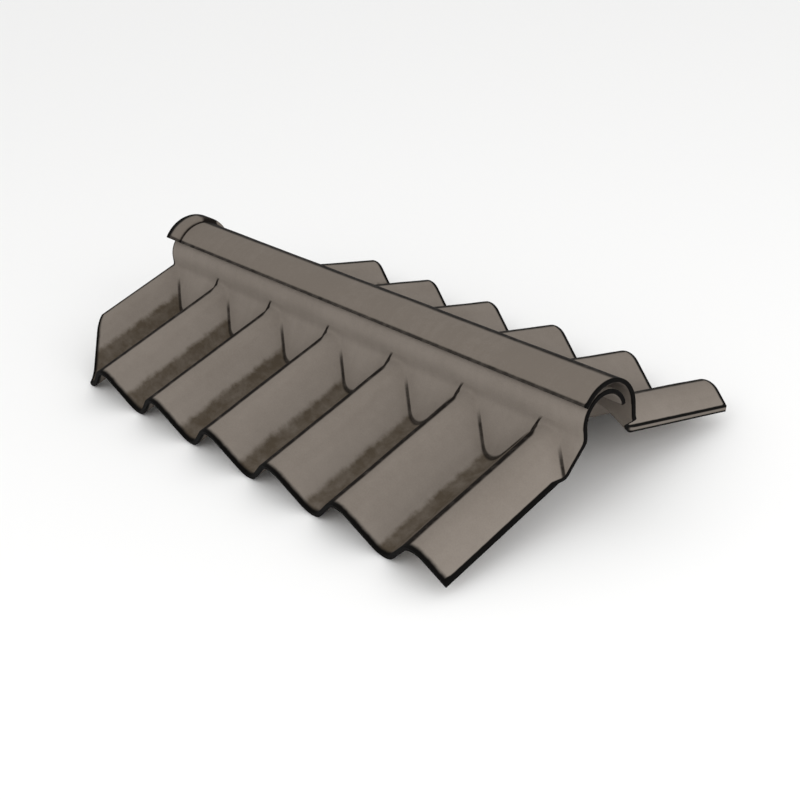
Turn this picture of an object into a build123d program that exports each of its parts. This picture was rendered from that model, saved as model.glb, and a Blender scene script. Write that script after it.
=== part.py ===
"""Two-piece adjustable ridge cap for a corrugated fibre-cement roof.

Each piece is one moulded sheet: a corrugated wing that lies on one slope of the roof, a flat
apron that climbs out of the valleys, an upright neck and a rounded roll along the ridge. The
outer piece's roll laps over the inner piece's roll, so that the pair suits any pitch.
Millimetres, +X along the ridge, the inner piece's wing towards -Y, +Z up. While it is made,
X = 0 is the middle of the last crest and the ridge line, where the planes of the two wings
meet, is at Y = Z = 0.
"""
from build123d import *
from dataclasses import dataclass
import math
import os

# Corrugated sheet
sheet_t = 6.5                # thickness of the moulded sheet
pitch = 146.0                # crest to crest
depth = 48.0                 # crest to valley, on the same face of the sheet
bend_r = 28.0                # radius of crests and valleys, at the middle of the sheet
bays = 6                     # whole pitches between the first crest and the last

# Wings
wing_slope = 15.0            # fall of each wing below the level, degrees
wing_length = 289.0          # from the ridge line down the slope to the eaves
wing_drop = 17.0             # middle of the corrugations below the plane of the wing
mitre_start = 194.0          # down the slope from the ridge line to the cut-off corner
apron_foot = 88.0            # down the slope from the ridge line to the apron's foot in a valley
neck_fillet = 14.0           # hollow between the neck and the apron

# Rolls
outer_roll_r = 51.5          # outside radius of the outer roll
roll_gap = 5.5               # free space between the two rolls, were they on one axis
roll_height = 13.0           # axis of both rolls above the ridge line
lip_clearance = 0.3          # outer roll's lip to the shoulder of the inner roll that it leans on
outer_lip_angle = 54.0       # lip of the outer roll, from straight up, degrees
inner_lip_angle = 80.0       # lip of the inner roll, from straight up, degrees
lip_fillet = 1.6             # rounding of the lips

# Ends along the ridge
roll_near_end = 60.0         # near end of both rolls past the last crest
inner_near_edge = 47.0       # side edge of the inner wing past the last crest
outer_near_edge = 40.0       # side edge of the outer wing past the last crest
outer_far_edge = 52.0        # side edge of the outer wing inside the first crest
inner_near_flare = 88.0      # down the slope to where that edge of the inner wing turns out
outer_near_flare = 68.0      # the same of the outer wing, close under its neck
socket_reach = 7.0           # bell of the outer roll past the far side edge of the inner wing
socket_length = 27.0         # length of the bell
socket_clearance = 0.7       # inside of the bell to the next pair's outer roll, all round
socket_taper = 6.0           # length of the step up to the bell
margin = 60.0                # how far the solids used for cutting run past the sheet


@dataclass(frozen=True)
class Roll:
    """Roll of one piece: radius at the middle of its sheet, place of its axis, and its lip."""

    mid_r: float
    axis_y: float
    lip_angle: float


# Worked out from the sizes above. Both pieces are drawn with the wing towards -Y, and the outer
# one is mirrored afterwards, so its roll is drawn short of the ridge line to lie beyond it.
half_t = sheet_t / 2
slope = math.radians(wing_slope)
crest_level = depth / 2 - wing_drop
lip_shift = (roll_gap - lip_clearance) / math.sin(math.radians(outer_lip_angle))
inner_roll = Roll(outer_roll_r - sheet_t - roll_gap - half_t, 0.0, inner_lip_angle)
outer_roll = Roll(outer_roll_r - half_t, -lip_shift, outer_lip_angle)
first_crest = -bays * pitch
first_valley = first_crest + pitch / 2
socket_end = first_crest - socket_reach
socket_start = socket_end + socket_length


def wave_edges(shift):
    """One face of the corrugated sheet, as arcs joined by straight flanks, from end to end."""
    rise = 2 * bend_r - depth
    reach = math.hypot(pitch / 2, rise)
    flank = math.degrees(math.asin(2 * bend_r / reach) - math.atan2(rise, pitch / 2))
    edges = []
    for step in range(-2, 2 * bays + 4):
        x = first_crest + step * pitch / 2
        if step % 2 == 0:
            centre = (x, crest_level - bend_r)
            arc = CenterArc(centre, bend_r + shift, 90 + flank, -2 * flank)
        else:
            centre = (x, crest_level - depth + bend_r)
            arc = CenterArc(centre, bend_r - shift, 270 - flank, 2 * flank)
        if edges:
            edges.append(Line(edges[-1] @ 1, arc @ 0))
        edges.append(arc)
    return edges


def below_wave(shift, floor):
    """Everything under one face of the corrugated sheet, down to a floor."""
    edges = wave_edges(shift)
    start = edges[0] @ 0
    end = edges[-1] @ 1
    closing = Polyline((end.X, end.Y), (end.X, floor), (start.X, floor), (start.X, start.Y))
    face = make_face([*edges, closing])
    block = extrude(Plane.XZ * face, amount=wing_length + margin)
    return Rot(wing_slope, 0, 0) * block


def below_apron(roll, shift, top, floor):
    """Everything under one face of the apron and behind the same face of the neck."""
    middle_y = roll.axis_y - roll.mid_r
    corner_s = (-middle_y - crest_level * math.sin(slope)) / math.cos(slope)
    fall = slope + math.atan2(depth, apron_foot - corner_s)
    middle_z = crest_level * math.cos(slope) - corner_s * math.sin(slope)
    y = middle_y - shift
    z = middle_z + shift / math.cos(fall) - shift * math.tan(fall)
    low_y = y - (z - floor) / math.tan(fall)
    outline = Polyline((low_y, floor), (y, z), (y, top), (margin, top), (margin, floor), close=True)
    face = make_face(outline)
    corner = face.vertices().sort_by_distance((y, z, 0))[0]
    face = fillet(corner, neck_fillet + half_t - shift)
    start = socket_end - margin
    run = roll_near_end + margin - start
    return extrude(Plane.YZ.offset(start) * face, amount=run)


def inside_outline(points):
    """Prism, square to the wing, over an outline given along the ridge and down the slope."""
    corners = [(x, -s) for x, s in points]
    face = Pos(0, 0, -wing_length) * make_face(Polyline(*corners, close=True))
    return Rot(wing_slope, 0, 0) * extrude(face, amount=2 * wing_length)


def wing(roll, points):
    """Corrugated wing, apron and neck of one piece, cut to its outline."""
    floor = -2 * wing_length
    sheet = below_wave(half_t, floor) + below_apron(roll, half_t, roll_height, floor)
    sheet -= below_apron(roll, -half_t, roll_height + margin, floor - margin)
    sheet -= below_wave(-half_t, floor - margin)
    return sheet & inside_outline(points)


def straight_roll(roll, start):
    """Roll from the top of its neck over the ridge to its lip, from start to the near end."""
    axis = (roll.axis_y, roll_height)
    sweep = 90 + roll.lip_angle
    outside = CenterArc(axis, roll.mid_r + half_t, 180, -sweep)
    inside = CenterArc(axis, roll.mid_r - half_t, 180, -sweep)
    lip = Line(outside @ 1, inside @ 1)
    face = make_face([outside, lip, inside, Line(inside @ 0, outside @ 0)])
    corners = [face.vertices().sort_by_distance(end)[0] for end in (lip @ 0, lip @ 1)]
    face = fillet(corners, lip_fillet)
    return extrude(Plane.YZ.offset(start) * face, amount=roll_near_end - start)


def bell(roll):
    """Bell at the far end of a roll, which takes the near end of the next pair's rolls."""
    small = roll.mid_r - half_t
    big = small + sheet_t + socket_clearance
    foot = socket_start + socket_taper
    inside = [(foot, small), (socket_start, big), (socket_end, big)]
    outside = [(x, r + sheet_t) for x, r in reversed(inside)]
    ring = revolve(make_face(Polyline(*inside, *outside, close=True)), Axis.X, 90 + roll.lip_angle)
    return Pos(0, roll.axis_y, roll_height) * Rot(90 - roll.lip_angle, 0, 0) * ring


def near_edge(roll, edge, flare):
    """Outline of a near side edge: up the slope from the eaves, then out to the end of the roll."""
    return [
        (edge, wing_length),
        (edge, flare),
        (roll_near_end, roll.mid_r + half_t - roll.axis_y),
        (roll_near_end, -margin),
    ]


def inner_piece():
    """Piece with its wing towards -Y, whose roll lies under the other."""
    far_edge = [(first_crest, -margin), (first_crest, mitre_start), (first_valley, wing_length)]
    near = near_edge(inner_roll, inner_near_edge, inner_near_flare)
    sheet = wing(inner_roll, far_edge + near)
    return sheet + straight_roll(inner_roll, first_crest)


def outer_piece():
    """Piece with its wing towards +Y, whose roll laps over the other and ends in a bell."""
    far = first_crest + outer_far_edge
    far_edge = [(far, -margin), (far, wing_length)]
    near = near_edge(outer_roll, outer_near_edge, outer_near_flare)
    sheet = wing(outer_roll, far_edge + near)
    roll = straight_roll(outer_roll, socket_start + socket_taper)
    return mirror(sheet + roll + bell(outer_roll), about=Plane.XZ)


# The origin goes to the level of the eaves, under the middle of the pair.
pieces = {"inner_ridge_piece": inner_piece(), "outer_ridge_piece": outer_piece()}
box = Compound([piece.solid() for piece in pieces.values()]).bounding_box()
stand = Pos(-box.center().X, -box.center().Y, -box.min.Z)
os.makedirs("parts", exist_ok=True)
for name, piece in pieces.items():
    export_step(stand * piece.solid(), os.path.join("parts", name + ".step"))
    print(name, round(piece.volume), "valid" if piece.is_valid else "not valid")
print("box", box.size, "moved by", stand.position)
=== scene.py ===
"""Looks of the two-piece adjustable ridge cap: fibre cement with grimy rims and painted
shade, on a pale floor.

+X runs along the ridge, and the inner piece's wing is towards -Y. Lengths are in
millimetres while a surface is worked out, with x = 0 at the last crest and height 0 at
the ridge line, where the planes of the two wings meet. The meshes are in metres.
"""
import logging
import math
from dataclasses import dataclass
from enum import Enum
from functools import reduce
from typing import Any, Sequence, Union

import bpy
import numpy as np
from mathutils import Matrix, Vector


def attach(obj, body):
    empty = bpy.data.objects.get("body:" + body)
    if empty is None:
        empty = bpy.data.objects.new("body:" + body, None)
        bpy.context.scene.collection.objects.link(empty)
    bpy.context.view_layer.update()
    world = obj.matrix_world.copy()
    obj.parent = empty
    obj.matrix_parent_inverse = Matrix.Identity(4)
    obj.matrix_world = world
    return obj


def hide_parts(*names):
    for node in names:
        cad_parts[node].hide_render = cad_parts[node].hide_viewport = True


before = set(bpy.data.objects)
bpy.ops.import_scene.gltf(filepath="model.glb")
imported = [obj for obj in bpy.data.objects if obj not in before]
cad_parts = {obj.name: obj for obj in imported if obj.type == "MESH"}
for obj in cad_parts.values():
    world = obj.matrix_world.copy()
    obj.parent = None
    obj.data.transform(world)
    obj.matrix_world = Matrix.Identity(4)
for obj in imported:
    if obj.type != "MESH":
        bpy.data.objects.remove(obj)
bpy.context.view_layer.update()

LOG = logging.getLogger("ridge_cap")
MM = 0.001  # one millimetre, in metres
PHOTO_WIDTH = 800.0  # in pixels
AWAY = 99.0  # a distance out of reach of every streak and seam, in millimetres
SPECULAR = 0.1  # specular level of a rough, dusty surface
MIX_FIRST, MIX_SECOND, MIX_RESULT = 6, 7, 2  # a Mix node's sockets for colours

Array = np.ndarray
Triple = tuple[float, float, float]
Colour = Triple
Ramp = tuple[float, float]  # where an ease begins and ends


def linear(red: int, green: int, blue: int) -> Colour:
    """Linear values of a colour, as shaders use them.

    Args:
        red: Red of the colour as a screen shows it, 0 to 255.
        green: Its green.
        blue: Its blue.

    Returns:
        The three linear values.
    """
    def one(value: int) -> float:
        """One channel, by the usual screen curve."""
        share = value / 255
        return share / 12.92 if share <= 0.04045 else ((share + 0.055) / 1.055) ** 2.4
    return one(red), one(green), one(blue)


def smoothstep(low: float, high: float, values: Array) -> Array:
    """Ease from 0 at low to 1 at high: t squared times (3 - 2t), t held from 0 to 1.

    Args:
        low: Where the ease begins.
        high: Where it ends.
        values: Numbers to be eased.

    Returns:
        The eased numbers.
    """
    t = np.clip((values - low) / (high - low), 0.0, 1.0)
    return t * t * (3.0 - 2.0 * t)


def soft_max(first: Array, second: Array, blend: float) -> Array:
    """The larger of two, raised where they cross by (blend - |gap|)^2 / (4 blend).

    Args:
        first: One surface's heights.
        second: The other's.
        blend: Gap in height under which the two run into each other.

    Returns:
        Heights of the joined surface.
    """
    near = np.maximum(blend - np.abs(first - second), 0.0)
    return np.maximum(first, second) + near * near / (4.0 * blend)


def fillet_blend(radius: float, turn: float) -> float:
    """Blend with which soft_max rounds a corner of that turn to about that radius.

    Args:
        radius: Radius of the rounding.
        turn: Angle between the two surfaces, in radians.

    Returns:
        The blend, in the same unit as the radius.
    """
    return 2.0 * radius * math.tan(turn / 2.0) ** 2


def nearest(*distances: Array) -> Array:
    """Distance from the nearest of several edges at every point, never below 0."""
    return np.maximum(reduce(np.minimum, distances), 0.0)


class Side(Enum):
    """Which way a piece's wing lies, as the sign of Y."""

    INNER = -1
    OUTER = 1


class Face(Enum):
    """Face of the moulded sheet, as the sign of its distance from the middle."""

    UPPER = 1
    LOWER = -1


@dataclass(frozen=True)
class Corrugation:
    """Wave across the wings: crests and valleys of one radius, with straight flanks."""

    pitch: float = 146.0  # crest to crest
    depth: float = 48.0  # crest to valley, on the same face of the sheet
    bend: float = 28.0  # radius of crests and valleys, at the middle of the sheet
    half_t: float = 3.25  # half the thickness of the sheet
    drop: float = 17.0  # middle of the wave below the plane of the wing
    bays: int = 6  # whole pitches between the first crest and the last

    @property
    def crest_level(self) -> float:
        """Middle of the sheet at a crest, above the plane of the wing."""
        return self.depth / 2 - self.drop

    @property
    def flank(self) -> float:
        """Slope of the flanks: the common tangent of a crest's arc and a valley's.

        Returns:
            The slope, in radians.
        """
        rise = 2 * self.bend - self.depth
        reach = math.hypot(self.pitch / 2, rise)
        return math.asin(2 * self.bend / reach) - math.atan2(rise, self.pitch / 2)

    def from_crest(self, x: Array) -> Array:
        """Signed distance of x from the nearest crest; the last crest is at 0."""
        return (x + self.pitch / 2) % self.pitch - self.pitch / 2

    def height(self, x: Array, shift: float) -> Array:
        """Height of one face of the sheet over the plane of the wing.

        Near a crest it is the crest's circle, near a valley the valley's, and between
        them a straight line at the slope of the flanks.

        Args:
            x: Places along the ridge, from the last crest.
            shift: Distance of the face from the middle of the sheet.

        Returns:
            Heights, one for each x.
        """
        u = np.abs(self.from_crest(x))
        w = self.pitch / 2 - u
        crest_r = self.bend + shift
        valley_r = self.bend - shift
        crest_y = self.crest_level - self.bend
        valley_y = self.crest_level - self.depth + self.bend
        crest = crest_y + np.sqrt(np.maximum(crest_r ** 2 - u ** 2, 0.0))
        valley = valley_y - np.sqrt(np.maximum(valley_r ** 2 - w ** 2, 0.0))
        crest_end = crest_r * math.sin(self.flank)
        valley_end = valley_r * math.sin(self.flank)
        top = crest_y + crest_r * math.cos(self.flank)
        line = top - (u - crest_end) * math.tan(self.flank)
        return np.where(u < crest_end, crest, np.where(w < valley_end, valley, line))


@dataclass(frozen=True)
class Pair:
    """Sizes that both pieces share, and the place of the ridge line in the frame."""

    wave: Corrugation = Corrugation()
    slope: float = math.radians(15.0)  # fall of the wings below the level, in radians
    wing_length: float = 289.0  # ridge line to the eaves, down the slope
    mitre_start: float = 194.0  # ridge line to the cut-off far corner, likewise
    apron_foot: float = 88.0  # ridge line to the apron's foot in a valley, likewise
    neck_fillet: float = 14.0  # hollow between neck and apron, on the upper face
    crease_fillet: float = 7.0  # hollow between apron and wave, on the upper face
    roll_height: float = 13.0  # axis of both rolls above the ridge line
    near_end: float = 60.0  # near end of both rolls past the last crest
    bell_step: float = 7.2  # growth of the roll's radius in the bell
    bell_reach: float = 7.0  # far end of the bell past the first crest
    bell_length: float = 27.0
    bell_taper: float = 6.0  # length of the step up to the bell
    frame_x: float = 411.5  # place of the last crest in the frame
    frame_z: float = 117.541  # height of the ridge line in the frame

    @property
    def first_crest(self) -> float:
        """Place of the crest at the far end."""
        return -self.wave.bays * self.wave.pitch

    @property
    def first_valley(self) -> float:
        """Place of the valley next to the far end."""
        return self.first_crest + self.wave.pitch / 2

    @property
    def bell_end(self) -> float:
        """Far end of the bell."""
        return self.first_crest - self.bell_reach

    @property
    def bell_start(self) -> float:
        """Where the bell has its full size, on the side of the roll."""
        return self.bell_end + self.bell_length

    def on_wing(self, down: Array, height: Array) -> tuple[Array, Array]:
        """Distance out and height up of points down the slope and over the wing."""
        sine, cosine = math.sin(self.slope), math.cos(self.slope)
        return down * cosine + height * sine, height * cosine - down * sine

    def down_slope(self, out: Array, up: Array) -> Array:
        """Distance down the slope of points by their distance out and height up."""
        return out * math.cos(self.slope) - up * math.sin(self.slope)


@dataclass
class Shell:
    """Closed mesh of a sheet."""

    points: Array  # corner points, in metres in the frame
    quads: Array  # indices of the four corners of each quad
    values: dict[str, Array]  # what the finish needs at every point


@dataclass
class Grid:
    """Both faces of a sheet, in rows from lip to eaves and columns along the ridge."""

    points: Array  # points of the faces, one layer for each face
    keep: Array  # false for the cells that the sheet lacks
    values: dict[str, Array]  # as in Shell

    def close(self) -> Shell:
        """Joins the two faces along every free edge, and turns all quads outwards.

        An edge that only one kept cell uses is free. The quad between it and the same
        edge of the other face is part of the cut edge of the sheet.

        Returns:
            The closed mesh, with unused points left out.
        """
        layers, rows, columns, _ = self.points.shape
        count = rows * columns
        index = np.arange(count).reshape(rows, columns)
        corners = [index[:-1, :-1], index[:-1, 1:], index[1:, 1:], index[1:, :-1]]
        cell = np.stack(corners, axis=-1)[self.keep]
        edges = np.concatenate([cell[:, [at, (at + 1) % 4]] for at in range(4)])
        key = edges.min(axis=1) * count + edges.max(axis=1)
        _, first, uses = np.unique(key, return_index=True, return_counts=True)
        start, end = edges[first[uses == 1]].T
        wall = np.stack([end, start, start + count, end + count], axis=-1)
        quads = np.concatenate([cell, cell[:, ::-1] + count, wall])
        used, quads = np.unique(quads, return_inverse=True)
        quads = quads.reshape(-1, 4)
        points = self.points.reshape(layers * count, 3)[used]
        values = {
            name: value.reshape(layers * count)[used]
            for name, value in self.values.items()
        }
        a, b, c, d = (points[quads[:, corner]] for corner in range(4))
        volume = np.sum(a * np.cross(b, c)) + np.sum(a * np.cross(c, d))
        if volume < 0:
            quads = quads[:, ::-1]
        return Shell(points, quads, values)


@dataclass(frozen=True)
class Unevenness:
    """Unevenness of a moulded sheet: crossing waves of a fraction of a millimetre."""

    # height, length along the ridge, length across the section, and start of each
    waves: Sequence[tuple[float, float, float, float]] = (
        (0.20, 41.0, 23.0, 0.7),
        (0.16, 67.0, -31.0, 2.1),
        (0.12, 19.0, 47.0, 4.0),
        (0.10, 29.0, -13.0, 5.2),
    )
    # distances from a rim at which the waves begin and are whole
    rise: Ramp = (4.0, 40.0)
    side: float = 2.4  # share of the distance from the near side edge that counts
    roll_rise: Ramp = (0.0, 0.6)  # the same on a roll, in radians above the level
    roll_sink: float = 0.6  # how far they are lowered on a roll, to stay within it
    roll_share: float = 0.6  # share of them that a roll has

    def height(self, x: Array, w: Array) -> Array:
        """Sum of the waves: height times the sine of x and w over its lengths."""
        return sum(
            size * np.sin(x / along + w / across + start)
            for size, along, across, start in self.waves
        )


@dataclass(frozen=True)
class Wear:
    """How far the black grime of the rims reaches in from each edge of a piece.

    The finish goes by the distance from the nearest edge. A share of it under 1 widens
    the black rim there, and one over 1 thins it.
    """

    eaves: float = 1.0  # share of the distance from the eaves
    side: float = 3.4  # share of the distance from the near side edge
    near: float = 2.5  # share of the distance from the near end of the roll
    far: float = 1.5  # share of the distance from the far end of the roll
    lip: float = 1.5  # share of the distance from the lip of the roll
    lip_least: float = 0.0  # least distance that counts at the lip
    inside: float = 3.0  # what is added to the distance on the inside of the roll
    inside_rise: Ramp = (0.0, 1.2)  # where that comes, in radians above the level


@dataclass(frozen=True)
class RimBevel:
    """Worn rounding of the cut edges of a sheet."""

    width: float = 0.9
    segments: int = 2  # flats that the rounding is made of
    least: float = math.radians(60.0)  # angle above which an edge is rounded

    def add_to(self, piece: bpy.types.Object) -> None:
        """Rounds the sharp edges of a piece.

        Args:
            piece: Object that gets the modifier.
        """
        bevel = piece.modifiers.new("worn rim", "BEVEL")
        bevel.width = self.width * MM
        bevel.segments = self.segments
        bevel.limit_method = "ANGLE"
        bevel.angle_limit = self.least
        bevel.harden_normals = True


@dataclass(frozen=True)
class CapPiece:
    """One moulded piece: wing, apron, neck and roll in one sheet.

    A section is worked out in distance out from the ridge plane, towards the wing, and
    in height up from the ridge line.
    """

    name: str
    node: str  # CAD node that it stands for
    slot: str  # material slot of the record
    side: Side  # which way the wing lies
    mid_r: float  # radius of the roll at the middle of its sheet
    axis: float  # distance of the roll's axis from the ridge plane
    lip_angle: float  # lip of the roll from straight up, in radians
    wing_far: float  # far side edge of the wing
    roll_far: float  # far end of the roll
    near_edge: float  # near side edge of the wing
    near_flare: float  # down the slope to where this edge turns out to the roll's end
    belled: bool  # whether the roll ends in a bell
    mitred: bool  # whether the far corner of the wing is cut off
    wear: Wear
    pair: Pair
    uneven: Unevenness = Unevenness()
    bevel: RimBevel = RimBevel()
    column_step: float = 2.9  # most that two columns stand apart
    row_step: float = 2.6  # distance between the even rows from the neck down
    neck_steps: int = 37  # number of these rows
    eaves_steps: int = 26  # number of rows from there to the eaves
    roll_steps: int = 36
    lean: float = math.radians(45.0)  # of the line along which heights are counted
    shoulder: float = math.radians(50.0)  # the roll's line of painted shade, above the level

    def columns(self) -> Array:
        """Places of the columns, with one at each end and step of the piece.

        Returns:
            Places along the ridge, from the far end to the near side edge.
        """
        pair = self.pair
        stops = {self.roll_far, self.wing_far, 0.0, self.near_edge}
        if self.mitred:
            stops.add(pair.first_valley)
        if self.belled:
            stops |= {pair.bell_start, pair.bell_start + pair.bell_taper}
        marks = sorted(stops)
        spans = []
        for low, high in zip(marks, marks[1:]):
            steps = math.ceil((high - low) / self.column_step)
            spans.append(np.linspace(low, high, steps, endpoint=False))
        return np.append(np.concatenate(spans), marks[-1])

    def corner(self) -> tuple[float, float, float]:
        """Corner of neck and apron at the middle of the sheet, and the apron's fall.

        Returns:
            Distance from the ridge plane, height, and fall below the level in radians.
        """
        pair, level = self.pair, self.pair.wave.crest_level
        out = self.axis + self.mid_r
        down = (out - level * math.sin(pair.slope)) / math.cos(pair.slope)
        up = level * math.cos(pair.slope) - down * math.sin(pair.slope)
        fall = pair.slope + math.atan2(pair.wave.depth, pair.apron_foot - down)
        return out, up, fall

    def wing_end(self, x: Array) -> Array:
        """Distance down the slope of the eaves, shorter along the cut-off far corner.

        Args:
            x: Places of the columns.

        Returns:
            Distances, one for each column.
        """
        pair = self.pair
        if not self.mitred:
            return np.full_like(x, pair.wing_length)
        run = pair.first_valley - pair.first_crest
        share = np.clip((x - pair.first_crest) / run, 0, 1)
        return pair.mitre_start + share * (pair.wing_length - pair.mitre_start)

    def along(self, x: Array, down: Array) -> Array:
        """Moves the columns past the last crest out to the flaring side edge.

        The side edge runs straight from the eaves to the flare, then out to the roll's
        end. A column between the last crest and the edge keeps its share of the way.

        Args:
            x: Places of the columns.
            down: Distance of each row down the slope.

        Returns:
            Places of all points, rows by columns.
        """
        turn_in = self.mid_r + self.pair.wave.half_t + self.axis
        share = np.clip((self.near_flare - down) / (self.near_flare - turn_in), 0, 1)
        edge = self.near_edge + share * (self.pair.near_end - self.near_edge)
        stretch = edge[:, None] / self.near_edge
        return np.where(x[None, :] > 0, x[None, :] * stretch, x[None, :])

    def square_to_lean(self, out: Array, up: Array) -> Array:
        """Place w of points on the line square to the lean."""
        return out * math.sin(self.lean) - up * math.cos(self.lean)

    def section(self, w: Array, height: Array) -> tuple[Array, Array]:
        """Distance out and height up of points by their w and height over it."""
        sine, cosine = math.sin(self.lean), math.cos(self.lean)
        return w * sine + height * cosine, height * sine - w * cosine

    def plane(self, reach: Union[float, Array], fall: float, w: Array) -> Array:
        """Height, along the lean, of a plane over the line square to the lean.

        A plane that falls outwards by an angle, reach from the ridge line, stands at
        reach plus w times the cosine, over the sine, of that angle plus the lean.

        Args:
            reach: Distance of the plane from the ridge line.
            fall: Its fall outwards from the level, in radians.
            w: Places on the line square to the lean.

        Returns:
            Heights over w.
        """
        turn = fall + self.lean
        return (reach + w * math.cos(turn)) / math.sin(turn)

    def hollows(self, level: Array, w: Array, shift: float) -> tuple[Array, Array]:
        """Wing on its own, and neck and apron joined by their soft hollow.

        Args:
            level: Height of the wing's face over the plane of the wing.
            w: Places on the line square to the lean.
            shift: Distance of the face from the middle of the sheet.

        Returns:
            Heights of the wing, and of the apron with the neck.
        """
        pair = self.pair
        out, up, fall = self.corner()
        reach = out * math.sin(fall) + up * math.cos(fall) + shift
        apron = self.plane(reach, fall, w)
        neck = self.plane(out + shift, math.pi / 2, w)
        radius = pair.neck_fillet + pair.wave.half_t - shift
        upright = soft_max(apron, neck, fillet_blend(radius, math.pi / 2 - fall))
        return self.plane(level, pair.slope, w), upright

    def rows(self, level: Array, shift: float, ends: Array) -> Array:
        """Rows across the section: even steps from the neck, then shares of the rest.

        Args:
            level: Height of the wing's face over the plane of the wing.
            shift: Distance of the face from the middle of the sheet.
            ends: Distance down the slope of the eaves.

        Returns:
            Places on the line square to the lean, rows by columns.
        """
        out, _, _ = self.corner()
        top = self.square_to_lean(out + shift, self.pair.roll_height)
        last = self.square_to_lean(*self.pair.on_wing(ends, level))
        steps = np.arange(1, self.neck_steps + 1)[:, None] * self.row_step
        even = top + steps + 0 * last
        share = np.linspace(0, 1, self.eaves_steps + 1)[1:, None]
        return np.concatenate([even, even[-1:] + (last - even[-1:]) * share])

    def wing_places(self, x: Array) -> Array:
        """Places along the ridge of the wing's points, the same on both faces.

        The flare of the side edge is read off at the edge, at the middle of the sheet.

        Args:
            x: Places of the columns.

        Returns:
            Places, rows by columns.
        """
        level = self.pair.wave.height(np.array([[self.near_edge]]), 0.0)
        w = self.rows(level, 0.0, np.array([[self.pair.wing_length]]))
        height = np.maximum(*self.hollows(level, w, 0.0))
        down = self.pair.down_slope(*self.section(w, height))
        return self.along(x, down[:, 0])

    def wing_rows(self, x: Array, face: Face) -> dict[str, Array]:
        """One face of neck, apron and wing, from the height of the roll's axis down.

        Seen along a line that leans outwards, the wing, the apron and the neck are each
        a plain height over the line square to it. The face is the soft maximum of the
        three, so they run into each other in soft hollows.

        Args:
            x: Places of the columns.
            face: Which face of the sheet.

        Returns:
            Arrays of rows by columns: the section and what the finish needs of it.
        """
        pair, wear, uneven = self.pair, self.wear, self.uneven
        shift = face.value * pair.wave.half_t
        places = self.wing_places(x)
        ends = self.wing_end(x)[None, :]
        w = self.rows(pair.wave.height(x[None, :], shift), shift, ends)
        wing, upright = self.hollows(pair.wave.height(places, shift), w, shift)
        _, _, fall = self.corner()
        radius = pair.crease_fillet + pair.wave.half_t - shift
        height = soft_max(wing, upright, fillet_blend(radius, fall - pair.slope))

        eaves = ends - pair.down_slope(*self.section(w, height))
        side = places[:, -1:] - places
        far = places - self.wing_far
        fade = smoothstep(*uneven.rise, nearest(eaves, uneven.side * side, far))
        fade = fade * smoothstep(*uneven.rise, w - w[:1])
        out, up = self.section(w, height + uneven.height(places, w) * fade)
        return {
            "x": places,
            "out": out,
            "up": up,
            "from_rim": nearest(wear.eaves * eaves, wear.side * side, far),
            "from_fold": wing - upright,
            "from_bell": self.from_bell(places),
            "from_shoulder": np.full_like(places, -AWAY),
        }

    def roll_rows(self, x: Array, face: Face) -> dict[str, Array]:
        """One face of the roll, from its lip over the top to the height of its axis.

        The points turn round the roll's axis. At the bell the radius grows by the
        bell's step, in an ease as long as the bell's taper.

        Args:
            x: Places of the columns.
            face: Which face of the sheet.

        Returns:
            Arrays as wing_rows gives them.
        """
        pair, wear, uneven = self.pair, self.wear, self.uneven
        full = math.pi / 2 + self.lip_angle
        turn = np.linspace(full, 0.0, self.roll_steps + 1)[:, None]
        places = self.along(x, np.zeros(self.roll_steps + 1))
        radius = self.mid_r + face.value * pair.wave.half_t + 0 * places
        if self.belled:
            foot = pair.bell_start + pair.bell_taper
            step = pair.bell_step * smoothstep(-foot, -pair.bell_start, -places)
            radius = radius + step

        near = wear.near * (places[:, -1:] - places)
        far = wear.far * (places - places[:, :1])
        lip = wear.lip * self.mid_r * (full - turn)
        free = np.where(places < self.wing_far, self.mid_r * turn, np.inf)
        fade = smoothstep(*uneven.rise, nearest(near, far, lip, free))
        fade = fade * smoothstep(*uneven.roll_rise, turn)
        bumps = uneven.height(places, self.mid_r * turn) - uneven.roll_sink
        radius = radius + bumps * uneven.roll_share * fade
        rim = nearest(near, far, np.maximum(lip, wear.lip_least), free)
        if face is Face.LOWER:
            rim = rim + wear.inside * smoothstep(*wear.inside_rise, turn)
        past = self.mid_r * (turn - self.shoulder) if self.belled else -AWAY
        return {
            "x": places,
            "out": self.axis + radius * np.cos(turn),
            "up": pair.roll_height + radius * np.sin(turn),
            "from_rim": rim,
            "from_fold": np.full_like(places, -AWAY),
            "from_bell": self.from_bell(places),
            "from_shoulder": past + 0 * places,
        }

    def from_bell(self, places: Array) -> Array:
        """Distance past the start of the bell, or AWAY on a piece that has none."""
        past = places - self.pair.bell_start
        return past if self.belled else np.full_like(places, AWAY)

    def grid(self) -> Grid:
        """Joins the roll to the rest on each face, and moves it all to the frame.

        Returns:
            Both faces of the whole piece, in metres.
        """
        x = self.columns()
        layers = []
        for face in Face:
            parts = [self.roll_rows(x, face), self.wing_rows(x, face)]
            layers.append({
                key: np.concatenate([part[key] for part in parts]) for key in parts[0]
            })
        whole = {key: np.stack([layer[key] for layer in layers]) for key in layers[0]}
        points = np.stack([
            whole.pop("x") + self.pair.frame_x,
            whole.pop("out") * self.side.value,
            whole.pop("up") + self.pair.frame_z,
        ], axis=-1) * MM
        keep = np.ones((points.shape[1] - 1, points.shape[2] - 1), dtype=bool)
        keep[self.roll_steps:, x[:-1] < self.wing_far] = False
        upper = np.zeros(points.shape[1:3])
        whole["underside"] = np.stack([upper, upper + 1.0])
        return Grid(points, keep, whole)

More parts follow.
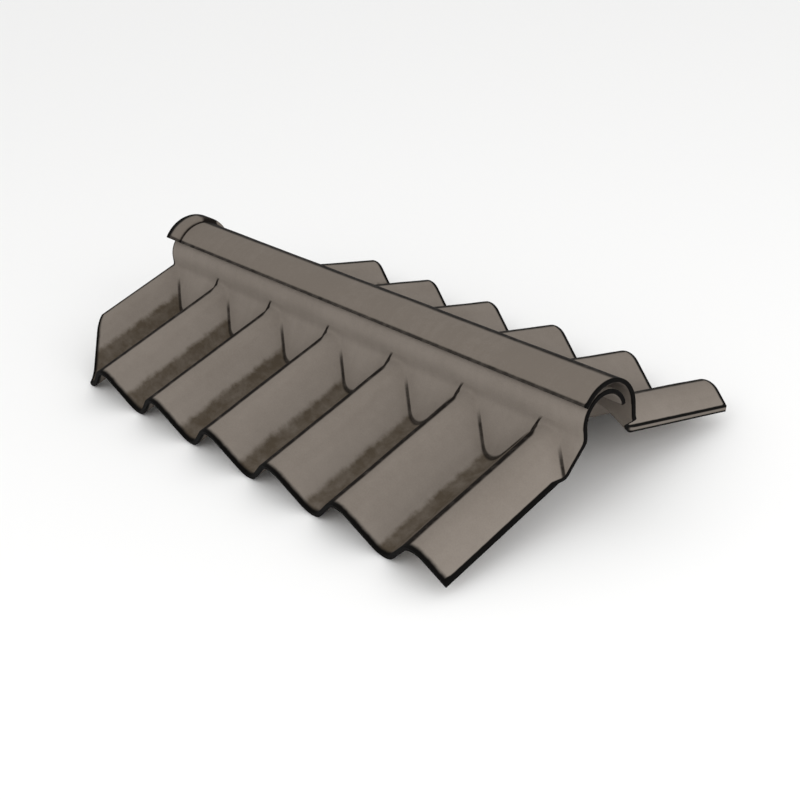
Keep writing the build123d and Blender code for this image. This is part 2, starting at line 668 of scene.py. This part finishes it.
    def mesh(self) -> bpy.types.Mesh:
        """Makes the mesh, with what the finish needs as attributes of its points.

        Returns:
            The closed mesh.
        """
        shell = self.grid().close()
        mesh = bpy.data.meshes.new(self.name)
        mesh.from_pydata(shell.points.tolist(), [], shell.quads.tolist())
        for key, value in shell.values.items():
            layer = mesh.attributes.new(key, "FLOAT", "POINT")
            layer.data.foreach_set("value", value.astype(np.float32))
        mesh.shade_smooth()
        mesh.update()
        points, quads = len(shell.points), len(shell.quads)
        LOG.info("%s: %d points, %d quads", self.name, points, quads)
        return mesh

    def build(self, finish: "FibreCement") -> None:
        """Makes the piece's object in its finish, under the root body, and hides its
        CAD node.

        Args:
            finish: What the sheet is made of.
        """
        mesh = self.mesh()
        mesh.materials.append(finish.material(self.slot, self.pair))
        piece = bpy.data.objects.new(self.name, mesh)
        bpy.context.collection.objects.link(piece)
        self.bevel.add_to(piece)
        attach(piece, "root")
        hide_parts(self.node)


class Wire:
    """One value in a material's nodes, on which Python's operators add Math nodes."""

    def __init__(self, graph: "Graph", socket: bpy.types.NodeSocket) -> None:
        """Keeps the graph and the socket that the value comes out of."""
        self.graph = graph
        self.socket = socket

    def _math(self, operation: str, *values: "Value") -> "Wire":
        """Result of one Math node over the values."""
        inputs = dict(enumerate(values))
        return self.graph.add("ShaderNodeMath", {"operation": operation}, inputs)

    def __add__(self, other: "Value") -> "Wire":
        """This and the other."""
        return self._math("ADD", self, other)

    __radd__ = __add__

    def __sub__(self, other: "Value") -> "Wire":
        """This less the other."""
        return self._math("SUBTRACT", self, other)

    def __rsub__(self, other: "Value") -> "Wire":
        """The other less this."""
        return self._math("SUBTRACT", other, self)

    def __mul__(self, other: "Value") -> "Wire":
        """This times the other."""
        return self._math("MULTIPLY", self, other)

    __rmul__ = __mul__

    def magnitude(self) -> "Wire":
        """This without its sign."""
        return self._math("ABSOLUTE", self)

    def held(self) -> "Wire":
        """This, held between 0 and 1."""
        return self.graph.add("ShaderNodeClamp", {}, {"Value": self})

    def wrapped(self, middle: float, width: float) -> "Wire":
        """Signed distance from the nearest of marks width apart, one at middle."""
        return self._math("WRAP", self - middle, width / 2, -width / 2)

    def ease(self, low: float, high: float) -> "Wire":
        """0 below low, 1 above high, and a smooth step between them."""
        return self.graph.add(
            "ShaderNodeMapRange", {"interpolation_type": "SMOOTHSTEP"},
            {"Value": self, "From Min": low, "From Max": high},
        )

    def near(self, middle: float, core: float, reach: float) -> "Wire":
        """1 within core of the middle, and 0 beyond reach of it."""
        return 1.0 - (self - middle).magnitude().ease(core, reach)

    def band(self, rise: Ramp, fall: Ramp) -> "Wire":
        """1 between two ramps, and 0 outside them."""
        return self.ease(*rise) * (1.0 - self.ease(*fall))


Value = Union[Wire, float]
Tint = Union[Wire, Colour]


class Graph:
    """Nodes of one material."""

    def __init__(self, name: str) -> None:
        """Starts a material with an empty tree.

        Args:
            name: Name of the material.
        """
        self.made = bpy.data.materials.new(name)
        self.made.use_nodes = True
        self.tree = self.made.node_tree
        self.tree.nodes.clear()

    def add(
        self, kind: str, settings: dict[str, Any], inputs: dict[Union[str, int], Any],
        output: Union[str, int] = 0,
    ) -> Wire:
        """Adds a node, sets it up, and then fills its sockets.

        Args:
            kind: Type of the node.
            settings: Its own settings.
            inputs: Value or wire of each socket named.
            output: Which of its results to return.

        Returns:
            The result.
        """
        node = self.tree.nodes.new(kind)
        for key, value in settings.items():
            setattr(node, key, value)
        for key, value in inputs.items():
            if isinstance(value, Wire):
                self.tree.links.new(value.socket, node.inputs[key])
            else:
                node.inputs[key].default_value = value
        return Wire(self, node.outputs[output])

    def mix(self, share: Value, first: Tint, second: Tint) -> Wire:
        """Colour between two.

        Args:
            share: 0 for the first, 1 for the second.
            first: One colour.
            second: The other.

        Returns:
            The mixed colour.
        """
        def full(colour: Tint) -> Any:
            """Colour with its fourth value, unless it is a wire."""
            return colour if isinstance(colour, Wire) else (*colour, 1.0)
        return self.add("ShaderNodeMix", {"data_type": "RGBA"}, {
            "Factor": share, MIX_FIRST: full(first), MIX_SECOND: full(second),
        }, MIX_RESULT)

    def attribute(self, name: str) -> Wire:
        """Value that the mesh keeps at its points."""
        return self.add("ShaderNodeAttribute", {"attribute_name": name}, {}, "Fac")

    def place(self) -> Wire:
        """The piece's own coordinates, in metres."""
        return self.add("ShaderNodeTexCoord", {}, {}, "Object")

    def finish(self, surface: Wire) -> bpy.types.Material:
        """Sends a surface to the material's output.

        Args:
            surface: Result of a shader.

        Returns:
            The finished material.
        """
        node = self.tree.nodes.new("ShaderNodeOutputMaterial")
        self.tree.links.new(surface.socket, node.inputs["Surface"])
        return self.made


@dataclass(frozen=True)
class Cloud:
    """One cloudy noise about 0.5."""

    scale: float  # lumps to the metre
    detail: float  # finer layers on top of them
    roughness: float = 0.5  # how strong these are
    # scale of the coordinates, which draws the lumps out where it is under 1
    stretch: Triple = (1.0, 1.0, 1.0)

    def add_to(self, graph: Graph) -> Wire:
        """Adds the noise to a material.

        Args:
            graph: The material's nodes.

        Returns:
            The noise.
        """
        where = graph.add(
            "ShaderNodeVectorMath", {"operation": "MULTIPLY"},
            {0: graph.place(), 1: self.stretch},
        )
        return graph.add("ShaderNodeTexNoise", {}, {
            "Vector": where, "Scale": self.scale,
            "Detail": self.detail, "Roughness": self.roughness,
        })


CLOUDS = {
    "wide": Cloud(9.0, 3.0),
    "patch": Cloud(26.0, 3.0, 0.6),
    "blotch": Cloud(75.0, 4.0, 0.6),
    "grain": Cloud(520.0, 3.0, 0.65),
    "streak": Cloud(95.0, 2.0, stretch=(1.0, 0.06, 0.06)),
}


@dataclass(frozen=True)
class Ground:
    """What the layers of a finish are painted by, with distances in millimetres."""

    graph: Graph
    x: Wire  # place along the ridge from the last crest
    crest: Wire  # signed distance from the nearest crest, likewise
    valley: Wire  # signed distance from the nearest valley, likewise
    fold: Wire  # height of the wing over apron and neck, below 0 on these
    top: Wire  # 1 on the upper face and 0 on the lower one
    clouds: dict[str, Wire]

    @classmethod
    def of(cls, graph: Graph, pair: Pair) -> "Ground":
        """Reads all of it off the piece that the material is on.

        Args:
            graph: The material's nodes.
            pair: Sizes of the pieces, whose corrugations the painted shade follows.

        Returns:
            The values.
        """
        metres = graph.add("ShaderNodeSeparateXYZ", {}, {0: graph.place()}, "X")
        x = metres * (1.0 / MM) - pair.frame_x
        pitch = pair.wave.pitch
        return cls(
            graph=graph,
            x=x,
            crest=x.wrapped(0.0, pitch),
            valley=x.wrapped(pitch / 2, pitch),
            fold=graph.attribute("from_fold"),
            top=1.0 - graph.attribute("underside"),
            clouds={name: cloud.add_to(graph) for name, cloud in CLOUDS.items()},
        )


@dataclass(frozen=True)
class Blend:
    """Sum of a number and of the noises of CLOUDS, each times its weight."""

    base: float = 0.0  # what the sum starts from
    wide: float = 0.0  # weight of the noise of that name, as are the others
    patch: float = 0.0
    blotch: float = 0.0
    grain: float = 0.0
    streak: float = 0.0

    def over(self, ground: Ground) -> Value:
        """Adds up the noises that have a weight.

        Args:
            ground: Where the noises are.

        Returns:
            The sum.
        """
        total: Value = self.base
        for name, cloud in ground.clouds.items():
            weight = getattr(self, name)
            if weight:
                total = total + cloud * weight
        return total


@dataclass(frozen=True)
class ValleyLight:
    """Painted light: paler strips beside the valleys of the upper face, against the
    shade that falls there.
    """

    middle: float = -10.0  # middle of a strip from its valley, along the ridge
    reach: Ramp = (5.0, 60.0)  # distances from the middle between which it fades
    foot: Ramp = (-3.0, 20.0)  # heights over the apron between which it comes
    share: float = 0.5  # share of pale that it brings

    def over(self, ground: Ground) -> Wire:
        """Share of pale painted light at every point."""
        strip = 1.0 - (ground.valley - self.middle).magnitude().ease(*self.reach)
        return strip * ground.fold.ease(*self.foot) * ground.top * self.share


@dataclass(frozen=True)
class ValleyShade:
    """Mottled painted shade from each valley up the flank behind it."""

    start: Ramp = (-14.0, -6.0)  # distances from the valley between which it comes
    drift: float = 0.026  # how far that moves on for each millimetre along the ridge
    ragged: Blend = Blend(-4.0, blotch=8.0)  # raggedness of this edge
    end: Ramp = (46.0, 60.0)  # distances from the valley between which it goes
    foot: Ramp = (-3.0, 3.0)  # heights over the apron between which it comes
    mottle: Blend = Blend(0.15, blotch=0.7, patch=0.75)  # strength of the painted shade

    def over(self, ground: Ground) -> Wire:
        """Strength of the painted shade at every point.

        Args:
            ground: What it is painted by.

        Returns:
            The strength, 0 where there is none.
        """
        edge = ground.valley - ground.x * self.drift + self.ragged.over(ground)
        zone = edge.ease(*self.start) * (1.0 - ground.valley.ease(*self.end))
        zone = zone * ground.fold.ease(*self.foot) * ground.top
        return zone * self.mottle.over(ground)


@dataclass(frozen=True)
class ShadeLines:
    """Dark lines of painted shade along the crests and the roll's shoulder, in the
    folds and at the foot of the bell's step.
    """

    place: float = -17.0  # middle of a crest's streak from the crest, along the ridge
    drift: float = 0.007  # how far it moves back for each millimetre along the ridge
    rise: Ramp = (-12.0, -6.0)  # distances from that middle between which it comes
    fall: Ramp = (7.5, 13.0)  # distances between which it goes
    tip: Ramp = (-4.0, 18.0)  # heights over the apron between which its tip is
    tip_shift: float = 5.0  # how far the tip stands back
    tip_thin: float = 1.6  # how much thinner than the rest it is
    neck: Ramp = (-15.0, -2.0)  # heights between which the tip turns off on the neck
    neck_shift: float = 9.0  # how far it turns off
    end: Ramp = (-15.0, -7.0)  # heights between which the tip ends
    roll_rise: Ramp = (-4.0, 0.0)  # distances past the roll's shoulder, likewise
    roll_fall: Ramp = (20.0, 28.0)  # distances between which it goes
    seam: Ramp = (1.3, 4.2)  # core and reach of the line in a fold, as heights
    seam_ends: Ramp = (24.0, 38.0)  # distances from the crest between which it comes
    seam_share: float = 0.85  # its strength
    bell_foot: float = 6.0  # line of painted shade at the foot of the bell's step, past the start of the bell
    bell: Ramp = (0.8, 3.0)  # core and reach of this line
    strength: Blend = Blend(0.65, blotch=0.7)  # strength of all the lines

    def on_crests(self, ground: Ground) -> Wire:
        """Painted shade along the far shoulder of each crest, and its thin tip up the
        neck.

        Args:
            ground: What it is painted by.

        Returns:
            1 on the streaks and 0 off them.
        """
        tip = 1.0 - ground.fold.ease(*self.tip)
        neck = 1.0 - ground.fold.ease(*self.neck)
        across = ground.crest + ground.x * self.drift - self.place
        across = across + tip * self.tip_shift - neck * self.neck_shift
        across = across * (1.0 + tip * self.tip_thin)
        return across.band(self.rise, self.fall) * ground.fold.ease(*self.end)

    def in_folds(self, ground: Ground) -> Wire:
        """Painted shade in the crease where the valleys meet the apron, out to the
        flanks of the crests.
        """
        ends = ground.crest.magnitude().ease(*self.seam_ends)
        return ground.fold.near(0.0, *self.seam) * ends * self.seam_share

    def over(self, ground: Ground) -> Wire:
        """Strength of all the lines at every point.

        Args:
            ground: What they are painted by.

        Returns:
            The strength, 0 where there is none.
        """
        # Painted shade: crest shoulders, the roll's shoulder, the folds and the foot of
        # the bell's step.
        past = ground.graph.attribute("from_shoulder")
        bell = ground.graph.attribute("from_bell").near(self.bell_foot, *self.bell)
        lines = self.on_crests(ground) + past.band(self.roll_rise, self.roll_fall)
        lines = lines + self.in_folds(ground) + bell
        return lines * self.strength.over(ground) * ground.top


@dataclass(frozen=True)
class RimGrime:
    """Black grime along every rim, which may leave the middle of a cut edge pale."""

    reach: Ramp = (2.4, 6.4)  # distances from the rim between which it fades
    ragged: Blend = Blend(-1.2, blotch=2.4)  # raggedness of its edge
    bare: float = 0.0  # share of the cut edge's middle that stays pale
    # middle, core and reach of that, between 0 on top and 1 underneath
    bare_strip: Triple = (0.45, 0.12, 0.3)
    bare_foot: Ramp = (-3.0, 3.0)  # heights over the apron between which it comes

    def over(self, ground: Ground) -> Wire:
        """Strength of the grime at every point.

        Args:
            ground: What it is painted by.

        Returns:
            The strength, from 0 to 1.
        """
        strip = ground.graph.attribute("underside").near(*self.bare_strip)
        bare = strip * self.bare * ground.fold.ease(*self.bare_foot)
        edge = ground.graph.attribute("from_rim") + self.ragged.over(ground)
        return (1.0 - edge.ease(*self.reach)) * (1.0 - bare)


@dataclass(frozen=True)
class Relief:
    """Fine relief of the rough face: grain, shallow lumps and scattered pits."""

    lumps: Blend = Blend(blotch=0.6, grain=0.55)  # height of grain and lumps
    pits: float = 260.0  # pits to the metre
    pit_side: Ramp = (0.0, 0.35)  # from the middle of a pit to its brim
    pit_depth: float = 0.35
    strength: float = 0.35
    depth: float = 0.0006  # metres for a height of 1

    def over(self, ground: Ground) -> Wire:
        """Normal of the rough face.

        Args:
            ground: What it is worked out from.

        Returns:
            The normal.
        """
        pits = ground.graph.add("ShaderNodeTexVoronoi", {}, {
            "Vector": ground.graph.place(), "Scale": self.pits,
        }, "Distance")
        height = self.lumps.over(ground) + pits.ease(*self.pit_side) * self.pit_depth
        return ground.graph.add("ShaderNodeBump", {}, {
            "Height": height, "Strength": self.strength, "Distance": self.depth,
        })


@dataclass(frozen=True)
class FibreCement:
    """Brown-grey moulded fibre cement, with black grime on rims and painted shade and
    light about the valleys.
    """

    pale: Colour = linear(128, 120, 112)  # paler brown of the clean sheet
    body: Colour = linear(110, 102, 94)  # darker brown of the clean sheet
    valley_shade_colour: Colour = linear(77, 68, 57)  # mottled painted shade of the valleys
    line: Colour = linear(18, 13, 9)  # dark lines of painted shade
    rim: Colour = linear(3, 2, 1)  # black grime of the rims
    # share of the darker brown
    tone: Blend = Blend(-0.72, wide=0.8, blotch=0.5, grain=0.8, streak=0.35)
    upright: Ramp = (-40.0, 0.0)  # heights over the apron between which the neck is
    upright_painted_shade: float = -0.3  # painted shade on neck and roll, as more of the darker brown; below 0 it is painted light
    roughness: float = 0.88
    grain: float = 0.18  # how far the grain spreads the roughness
    # painted light beside the valleys
    valley_light: ValleyLight = ValleyLight()
    # painted shade in the valleys
    valley_shade: ValleyShade = ValleyShade()
    # lines of painted shade
    shade_lines: ShadeLines = ShadeLines()
    rims: RimGrime = RimGrime()
    relief: Relief = Relief()

    def clean(self, ground: Ground) -> Wire:
        """The clean sheet: two browns mixed by the noises, with painted light beside
        the valleys, and painted shade on neck and roll that is painted light where its
        share is below 0.

        Args:
            ground: What it is painted by.

        Returns:
            The colour.
        """
        # painted shade on neck and roll, painted light where its share is below 0, and
        # painted light beside the valleys
        upright = 1.0 - ground.fold.ease(*self.upright)
        tone = self.tone.over(ground) + upright * self.upright_painted_shade
        tone = tone - self.valley_light.over(ground)
        return ground.graph.mix(tone.held(), self.pale, self.body)

    def material(self, name: str, pair: Pair) -> bpy.types.Material:
        """Makes the material: the clean sheet, then three layers: painted shade in the
        valleys, lines of painted shade, and black grime on the rims.

        Args:
            name: Name of the record's slot.
            pair: Sizes of the pieces.

        Returns:
            The material.
        """
        graph = Graph(name)
        ground = Ground.of(graph, pair)
        colour = self.clean(ground)
        # Layers: painted shade in the valleys, then lines of painted shade, then black
        # grime on the rims.
        layers = (
            (self.valley_shade, self.valley_shade_colour), (self.shade_lines, self.line),
            (self.rims, self.rim),
        )
        for layer, shade in layers:
            colour = graph.mix(layer.over(ground).held(), colour, shade)
        roughness = self.roughness - self.grain / 2
        return graph.finish(graph.add("ShaderNodeBsdfPrincipled", {}, {
            "Base Color": colour,
            "Roughness": ground.clouds["grain"] * self.grain + roughness,
            "Specular IOR Level": SPECULAR,
            "Normal": self.relief.over(ground),
        }))


@dataclass(frozen=True)
class PhotoCamera:
    """Camera at the photo's viewing angle, fitted to crests, edges and roll."""

    place: Triple = (1.47886, -1.12407, 0.97041)  # where it stands, in metres
    right: Triple = (0.65553, 0.75012, -0.08718)  # the picture's right in the frame
    up: Triple = (-0.30174, 0.36600, 0.88034)  # the picture's top in the frame
    focal_px: float = 1371.18  # focal length, in pixels of the photo
    sensor: float = 36.0  # width of the sensor, in millimetres
    farthest: float = 50.0  # how far it sees, in metres

    def build(self) -> None:
        """Makes the scene's camera."""
        data = bpy.data.cameras.new("photo camera")
        data.sensor_width = self.sensor
        data.lens = self.focal_px * self.sensor / PHOTO_WIDTH
        data.clip_end = self.farthest
        camera = bpy.data.objects.new("photo camera", data)
        bpy.context.collection.objects.link(camera)
        right, up = Vector(self.right).normalized(), Vector(self.up).normalized()
        turn = Matrix((right, up, right.cross(up))).transposed()
        camera.matrix_world = Matrix.Translation(self.place) @ turn.to_4x4()
        bpy.context.scene.camera = camera


@dataclass(frozen=True)
class Lamp:
    """Large soft lamp that looks at the middle of the object."""

    name: str
    place: Triple  # where it stands, in metres
    width: float  # side of its square face, in metres
    watts: float
    aim: Triple = (0.0, 0.0, 0.08)  # point that it looks at, in metres

    def build(self) -> None:
        """Makes the lamp."""
        data = bpy.data.lights.new(self.name, "AREA")
        data.size = self.width
        data.energy = self.watts
        lamp = bpy.data.objects.new(self.name, data)
        bpy.context.collection.objects.link(lamp)
        lamp.location = self.place
        view = Vector(self.aim) - Vector(self.place)
        lamp.rotation_euler = view.to_track_quat("-Z", "Y").to_euler()


@dataclass(frozen=True)
class Studio:
    """Plain pale floor and soft light from all round."""

    reach: float = 30.0  # half the side of the square floor, in metres
    paper: Colour = (0.93, 0.93, 0.925)
    roughness: float = 0.9
    sky: Colour = (1.0, 1.0, 1.0)  # colour of the light from all round
    sky_strength: float = 0.92
    lamps: Sequence[Lamp] = (
        Lamp("key lamp", (0.6, -2.6, 2.0), 2.4, 14.0),
        Lamp("side lamp", (2.9, -0.2, 1.2), 2.4, 27.0),
    )

    def floor(self) -> None:
        """Lays the floor at height 0."""
        square = np.array([[-1, -1, 0], [1, -1, 0], [1, 1, 0], [-1, 1, 0]])
        mesh = bpy.data.meshes.new("floor")
        mesh.from_pydata((square * self.reach).tolist(), [], [(0, 1, 2, 3)])
        graph = Graph("floor")
        mesh.materials.append(graph.finish(graph.add("ShaderNodeBsdfPrincipled", {}, {
            "Base Color": (*self.paper, 1.0),
            "Roughness": self.roughness,
            "Specular IOR Level": SPECULAR,
        })))
        floor = bpy.data.objects.new("floor", mesh)
        bpy.context.collection.objects.link(floor)

    def soft_sky(self) -> None:
        """Lights the scene from all round."""
        world = bpy.data.worlds.new("soft sky")
        world.use_nodes = True
        sky = world.node_tree.nodes["Background"]
        sky.inputs["Color"].default_value = (*self.sky, 1.0)
        sky.inputs["Strength"].default_value = self.sky_strength
        bpy.context.scene.world = world

    def build(self) -> None:
        """Makes floor, sky and lamps."""
        self.floor()
        self.soft_sky()
        for lamp in self.lamps:
            lamp.build()


def cap_pieces(pair: Pair) -> tuple[CapPiece, CapPiece]:
    """Sizes of the two pieces.

    Args:
        pair: Sizes that they share.

    Returns:
        The inner and the outer piece.
    """
    outer_far_edge = 52.0  # inside the first crest
    inner = CapPiece(
        "inner_cap_sheet", "inner_ridge_piece", "inner_fibre_cement", Side.INNER,
        mid_r=36.25, axis=0.0, lip_angle=math.radians(80.0),
        wing_far=pair.first_crest, roll_far=pair.first_crest,
        near_edge=47.0, near_flare=88.0, belled=False, mitred=True,
        wear=Wear(eaves=0.62), pair=pair,
    )
    outer = CapPiece(
        "outer_cap_sheet", "outer_ridge_piece", "outer_fibre_cement", Side.OUTER,
        mid_r=48.25, axis=6.4276, lip_angle=math.radians(54.0),
        wing_far=pair.first_crest + outer_far_edge, roll_far=pair.bell_end,
        near_edge=40.0, near_flare=68.0, belled=True, mitred=False,
        wear=Wear(far=0.6, lip_least=5.6, inside=6.5), pair=pair,
    )
    return inner, outer


def main() -> None:
    """Builds the pieces, the studio and the camera."""
    logging.basicConfig(level=logging.INFO, format="%(message)s")
    bpy.context.scene.view_settings.view_transform = "Standard"
    inner, outer = cap_pieces(Pair())
    inner.build(FibreCement())
    # the outer piece has painted shade on its roll and neck, and its crest lines of
    # painted shade nearer the crests
    outer.build(FibreCement(
        upright_painted_shade=0.5, shade_lines=ShadeLines(place=-10.0),
        rims=RimGrime(reach=(4.5, 8.5), bare=0.8),
    ))
    Studio().build()
    PhotoCamera().build()


if __name__ == "__main__":
    main()
